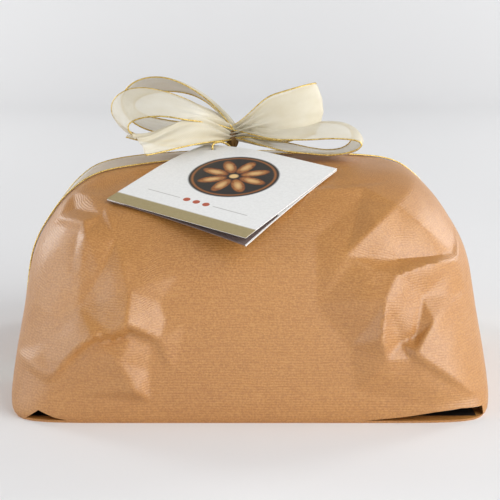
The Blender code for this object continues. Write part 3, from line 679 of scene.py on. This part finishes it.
def make_pack(made_of):
    """The shut paper pack, fine enough for its folds, with the two corner openings."""
    grid = crinkle(press_folds(pull_flat(pack_grid())))
    grid[0, :, 2] = 0.0
    rows, columns, _ = grid.shape
    points = [*grid.reshape(-1, 3), (0.0, 0.0, PACK_TOP)]
    faces = cell_faces(rows, columns, True)
    last = (rows - 1) * columns
    faces += [(last + column, last + (column + 1) % columns, rows * columns) for column in range(columns)]
    faces.append(tuple(range(columns))[::-1])
    pack = add_object("wrapped_paper", points, faces, made_of)
    steps = np.linalg.norm(np.diff(grid, axis=0), axis=2)
    climb = np.concatenate((np.zeros((1, columns)), np.cumsum(steps, axis=0)))
    facing_side = np.abs(grid[..., 0] / PACK_HALVES[0]) > np.abs(grid[..., 1] / PACK_HALVES[1])
    across = np.where(facing_side, grid[..., 1], grid[..., 0])
    places = np.column_stack((across.ravel(), climb.ravel()))
    add_uv(pack, "paper", np.concatenate((places, [(0.0, climb.max())])))
    half_groove = RIBBON_WIDTH / 2 + GROOVE_SPARE
    deep = GROOVE_DEPTH / MM
    groove_profile = ((-200.0, -10.0), (200.0, -10.0), (200.0, deep), (-200.0, deep))
    cutters = [
        prism("right_opening", RIGHT_OPENING, OPENING_REACH, made_of),
        prism("left_opening", LEFT_OPENING, OPENING_REACH, made_of),
        prism("groove", groove_profile, (-half_groove, half_groove), made_of),
    ]
    cutters[2].rotation_euler.z = BAND_SLANT
    cutters[2].location = BAND_SIDE * BAND_OFFSET
    for cutter in cutters:
        change = pack.modifiers.new("cut", "BOOLEAN")
        change.operation = "DIFFERENCE"
        change.solver = "MANIFOLD"
        change.object = cutter
    graph = bpy.context.evaluated_depsgraph_get()
    result = bpy.data.meshes.new_from_object(pack.evaluated_get(graph))
    pack.modifiers.clear()
    pack.data = result
    for cutter in cutters:
        bpy.data.objects.remove(cutter, do_unlink=True)
    pack.data.shade_smooth()
    pack.data.set_sharp_from_angle(angle=math.radians(50))
    return pack


def teardrop(turn, loop, edge, start):
    """One edge of a bow's loop, at turns from 0 to 1: out of the knot along the top, and back below."""
    side, roll, fullness = loop
    reach, opening, rise, bend, depth = edge
    out = reach * MM * (1.0 - np.cos(2 * math.pi * turn)) / 2
    swell = np.sin(2 * math.pi * turn) * np.sin(math.pi * turn) ** fullness
    lift = opening * MM / 2 * swell / swell.max() + START_SPREAD * np.cos(math.pi * turn)
    away = start + (depth * MM - start) * ease(out / PINCH_REACH)
    roll, rise = math.radians(roll), math.radians(rise)
    up = lift * math.cos(roll) - away * math.sin(roll) + bend * MM * (out / (reach * MM)) ** 2
    x = KNOT.x + side * (out * math.cos(rise) - up * math.sin(rise))
    y = KNOT.y + away * math.cos(roll) + lift * math.sin(roll)
    z = KNOT.z + LOOPS_ABOVE_KNOT + out * math.sin(rise) + up * math.cos(rise)
    return np.column_stack((x, y, z))


def loop_grid(loop, front, back, crown):
    """The surface of one loop of the bow, crowned between its two edges."""
    turn = np.linspace(0.0, 1.0, LOOP_STEPS)
    edges = [teardrop(turn, loop, front, -PINCH_WIDTH / 2), teardrop(turn, loop, back, PINCH_WIDTH / 2)]
    share = np.linspace(0.0, 1.0, LOOP_ACROSS)[None, :, None]
    grid = edges[0][:, None] * (1.0 - share) + edges[1][:, None] * share
    run = np.gradient((edges[0] + edges[1]) / 2, axis=0)
    outward = np.cross(run, edges[1] - edges[0]) * loop[0]
    outward /= np.linalg.norm(outward, axis=1)[:, None]
    swell = (np.sin(math.pi * turn) * (1.0 + np.cos(math.pi * turn)))[:, None, None] * share * (1.0 - share)
    return grid + outward[:, None] * swell * 3.2 * crown * MM


def tail_grid():
    """The bow's cut end: it stands up between its edges and narrows to the knot."""
    rows = [(*front, *back, crown) for front, back, crown in TAIL_STATIONS]
    rows = smooth_rows(rows, np.linspace(0.0, 1.0, 50)) * MM
    share = np.linspace(0.0, 1.0, LOOP_ACROSS)[None, :, None]
    grid = rows[:, None, 0:3] * (1.0 - share) + rows[:, None, 3:6] * share
    grid[..., 2] += (rows[:, None, 6:7] * 4.0 * share * (1.0 - share))[..., 0]
    return grid


def soften(grid, seed, loose):
    """Gathers a ribbon near the knot into the pleats that its full width needs, and adds slight waves."""
    along, across = np.gradient(grid, axis=0), np.gradient(grid, axis=1)
    normal = np.cross(along, across)
    normal /= np.linalg.norm(normal, axis=2)[..., None]
    share = np.linspace(0.0, 1.0, grid.shape[1])[None, :]
    width = np.linalg.norm(np.diff(grid, axis=1), axis=2).sum(1)
    spare = np.sqrt(2.0 * np.maximum((RIBBON_WIDTH / width) ** 2 - 1.0, 0.0))
    away = np.linalg.norm(grid.mean(1) - np.array(KNOT), axis=1)
    held = 1.0 - (1.0 - loose) * ease((away - PLEAT_REACH[0]) / (PLEAT_REACH[1] - PLEAT_REACH[0]))
    depth = held * width / (2 * math.pi * PLEATS) * spare
    pleat = depth[:, None] * np.sin(2 * math.pi * PLEATS * share) * (0.85 + 0.3 * np.sin(7.0 * share + seed))
    shift = Vector((seed, 0.0, 0.0))
    wave = [[noise.noise(Vector(point) * WAVE_RATE + shift) for point in row] for row in grid]
    return grid + normal * (pleat + WAVE_HEIGHT * np.array(wave))[..., None]


def ribbon_piece(name, grid, made_of, wire, ring=False):
    """A strip of ribbon with its wired edges; returns the strip and its two wires."""
    rows, columns, _ = grid.shape
    faces = cell_faces(rows, columns, False)
    if ring:
        last = (rows - 1) * columns
        faces += [(last + k, last + k + 1, k + 1, k) for k in range(columns - 1)]
    strip = add_object(name, grid.reshape(-1, 3), faces, made_of)
    strip.data.shade_smooth()
    run = np.concatenate(([0.0], np.cumsum(np.linalg.norm(np.diff(grid.mean(1), axis=0), axis=1))))
    share = np.linspace(0.0, 1.0, columns) * RIBBON_WIDTH
    add_uv(strip, "ribbon", np.column_stack((np.tile(share, rows), np.repeat(run, columns))))
    wires = []
    for side, column in (("front", 0), ("back", columns - 1)):
        route = grid[:, column]
        if ring:
            route = np.concatenate((route, route[:1]))
        wires.append(tube(f"{name}_{side}_wire", route, WIRE_RADIUS, WIRE_SIDES, wire))
    return strip, wires


def band_outline(surface, aside):
    """The pack's outline in one of the ribbon's upright planes, from the right end over the top and back.

    Each place has a fourth number: how much further out the ribbon lies in that plane, to clear a surface
    that leans out of it.
    """
    middle = BAND_SIDE * (BAND_OFFSET + aside) + Vector((0.0, 0.0, 0.5 * PACK_TOP))
    low = BAND_SIDE * (BAND_OFFSET + aside) + Vector((0.0, 0.0, GROOVE_DEPTH + 0.02 * MM))

    def meet(start, way):
        place, facing, _, _ = surface.ray_cast(start + way * 3.0, -way)
        return Vector((*place, 1.0 / math.sqrt(1.0 - facing.dot(BAND_SIDE) ** 2)))

    def turn_of(place):
        return math.atan2((place.z - middle.z) / middle.z, (place.xyz - middle).dot(BAND_WAY) / PACK_REACH)

    right, left = meet(low, BAND_WAY * PACK_REACH), meet(low, BAND_WAY * -PACK_REACH)
    first, last = turn_of(right), turn_of(left) + 2 * math.pi
    share = np.linspace(0.0, 1.0, BAND_STEPS_OVER + 1)[1:-1]
    share = share - BAND_BUNCHING * np.sin(2 * math.pi * share)
    outline = [right]
    for turn in first + (last - first) * share:
        upward = Vector((0.0, 0.0, middle.z * math.sin(turn)))
        outline.append(meet(middle, BAND_WAY * (PACK_REACH * math.cos(turn)) + upward))
    outline += [left.lerp(right, step / BAND_STEPS_UNDER) for step in range(BAND_STEPS_UNDER)]
    return outline


def band_grid(pack):
    """The ribbon round the pack: on the paper on top and at both ends, and in the groove underneath."""
    surface = BVHTree.FromObject(pack, bpy.context.evaluated_depsgraph_get())
    places = np.linspace(-RIBBON_WIDTH / 2, RIBBON_WIDTH / 2, BAND_ACROSS)
    outlines = np.array([band_outline(surface, aside) for aside in places]).transpose(1, 0, 2)
    grid, stretch = outlines[..., :3], outlines[..., 3:]
    ahead = np.cross(np.roll(grid, -1, 0) - grid, np.array(BAND_SIDE))
    ahead /= -np.linalg.norm(ahead, axis=2)[..., None]
    behind = np.roll(ahead, 1, 0)
    away = (ahead + behind) / (1.0 + (ahead * behind).sum(2))[..., None] * stretch
    return grid + away * BAND_GAP


def make_knot(made_of):
    """The pinched knot, with the furrows of the ribbon that is wound round it."""
    shape = bmesh.new()
    bmesh.ops.create_uvsphere(shape, u_segments=48, v_segments=32, radius=0.5)
    for vertex in shape.verts:
        turn = math.atan2(vertex.co.y, vertex.co.x)
        level = math.sqrt(max(0.0, 1.0 - (2 * vertex.co.z) ** 2))
        furrow = 1.0 - 0.09 * level * (1.0 + math.cos(9 * turn + 2.0 * vertex.co.z))
        pinch = 0.82 + 0.5 * vertex.co.z**2
        stretched = Vector([part * size for part, size in zip(vertex.co, KNOT_SIZE)])
        vertex.co = stretched * furrow * pinch + KNOT
    mesh = bpy.data.meshes.new("bow_knot")
    shape.to_mesh(mesh)
    shape.free()
    mesh.materials.append(made_of)
    mesh.shade_smooth()
    knot = bpy.data.objects.new("bow_knot", mesh)
    bpy.context.scene.collection.objects.link(knot)
    return knot


def make_tie(made_of):
    """Two gold strands twisted round each other along the tie's route."""
    route = smooth_rows(np.array(TIE_POINTS) * MM, np.linspace(0.0, 1.0, 110))
    along = np.gradient(route, axis=0)
    along /= np.linalg.norm(along, axis=1)[:, None]
    run = np.concatenate(([0.0], np.cumsum(np.linalg.norm(np.diff(route, axis=0), axis=1))))
    side = np.cross(along, SKEW_WAY)
    side /= np.linalg.norm(side, axis=1)[:, None]
    other = np.cross(along, side)
    strands = []
    for number in range(2):
        turn = (run * 2 * math.pi / TIE_TURN + number * math.pi)[:, None]
        strand = route + TIE_STRAND * 0.85 * (np.cos(turn) * side + np.sin(turn) * other)
        strands.append(tube(f"tie_strand_{number + 1}", strand, TIE_STRAND, 8, made_of))
    return strands


def make_stage():
    """A plain pale floor that sweeps up far behind."""
    profile = [(FLOOR_FRONT, 0.0)]
    for turn in np.linspace(0.0, SWEEP_TURN, SWEEP_STEPS):
        back = FLOOR_BACK + SWEEP_RADIUS * math.sin(turn)
        profile.append((back, SWEEP_RADIUS * (1.0 - math.cos(turn))))
    points = [(x, y, z) for y, z in profile for x in (-FLOOR_SIDE, FLOOR_SIDE)]
    faces = [(2 * k, 2 * k + 1, 2 * k + 3, 2 * k + 2) for k in range(len(profile) - 1)]
    floor = add_object("studio_floor", points, faces, floor_material())
    floor.data.shade_smooth()


def add_light(name, place, target, size, energy):
    light = bpy.data.lights.new(name, "AREA")
    light.shape = "RECTANGLE"
    light.size, light.size_y = size
    light.energy = energy
    obj = bpy.data.objects.new(name, light)
    obj.location = place
    obj.rotation_euler = (Vector(target) - Vector(place)).to_track_quat("-Z", "Y").to_euler()
    bpy.context.scene.collection.objects.link(obj)


def make_lights():
    """A large softbox to the front right, a weaker one to the left, two for the backdrop, and a surround."""
    for light in LIGHTS:
        add_light(*light)
    world = bpy.data.worlds.new("surround")
    world.use_nodes = True
    tree = world.node_tree
    way = tree.nodes.new("ShaderNodeTexCoord")
    split = tree.nodes.new("ShaderNodeSeparateXYZ")
    fade = tree.nodes.new("ShaderNodeMapRange")
    surround = tree.nodes["Background"]
    tree.links.new(way.outputs["Generated"], split.inputs[0])
    tree.links.new(split.outputs[2], fade.inputs[0])
    for key, value in ((1, 0.0), (2, WORLD_FADE_END), (3, WORLD_LEVEL), (4, WORLD_OVERHEAD)):
        fade.inputs[key].default_value = value
    tree.links.new(fade.outputs[0], surround.inputs["Strength"])
    surround.inputs["Color"].default_value = WORLD_COLOUR
    bpy.context.scene.world = world


def make_camera():
    data = bpy.data.cameras.new("camera")
    data.sensor_width = CAMERA_SENSOR
    data.lens = CAMERA_LENS
    camera = bpy.data.objects.new("camera", data)
    camera.location = CAMERA_PLACE
    camera.rotation_euler = (math.radians(90.0 - CAMERA_DOWN), 0.0, 0.0)
    bpy.context.scene.collection.objects.link(camera)
    bpy.context.scene.camera = camera


def main():
    bpy.context.scene.view_settings.view_transform = "Standard"
    make_camera()
    paper, wire = paper_material(), wire_material()
    bow_ribbon = ribbon_material("bow_ribbon", 0.74, (0.76, 0.71, 0.57), (0.70, 0.63, 0.46))
    band_ribbon = ribbon_material("band_ribbon", 0.6, (0.80, 0.74, 0.60), (0.74, 0.66, 0.50))
    # Painted shade: the knot is the same sheer cream ribbon, coloured dark brown for the shade deep between
    # the loops and the brown paper seen through it.
    knot_ribbon_painted_shade = ribbon_material("knot_ribbon_painted_shade", 0.96, (0.23, 0.115, 0.018), (0.08, 0.036, 0.006))

    pack = make_pack(paper)
    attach(pack, "root")
    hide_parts("paper_pack")

    pieces = {"band": ribbon_piece("ribbon_round_pack", band_grid(pack), band_ribbon, wire, ring=True)}
    for number, (name, (*loop, front, back, crown)) in enumerate(LOOPS.items()):
        grid = soften(loop_grid(loop, front, back, crown), 1.7 * number, LOOP_LOOSE)
        pieces[name] = ribbon_piece(f"bow_{name}", grid, bow_ribbon, wire)
    pieces["tail"] = ribbon_piece("bow_tail", soften(tail_grid(), 9.1, TAIL_LOOSE), bow_ribbon, wire)
    for name, (strip, wires) in pieces.items():
        node = "ribbon_band" if name == "band" else "ribbon_bow"
        for piece in (strip, *wires):
            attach(piece, "root")
            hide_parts(node)
    knot = make_knot(knot_ribbon_painted_shade)
    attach(knot, "root")
    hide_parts("ribbon_bow")

    for strand in make_tie(wire):
        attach(strand, "root")
        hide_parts("card_tie")
    for node, made_of in (("gift_card", card_material()), ("base_tray", tray_material())):
        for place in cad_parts[node].material_slots:
            place.material = made_of

    make_stage()
    make_lights()


main()
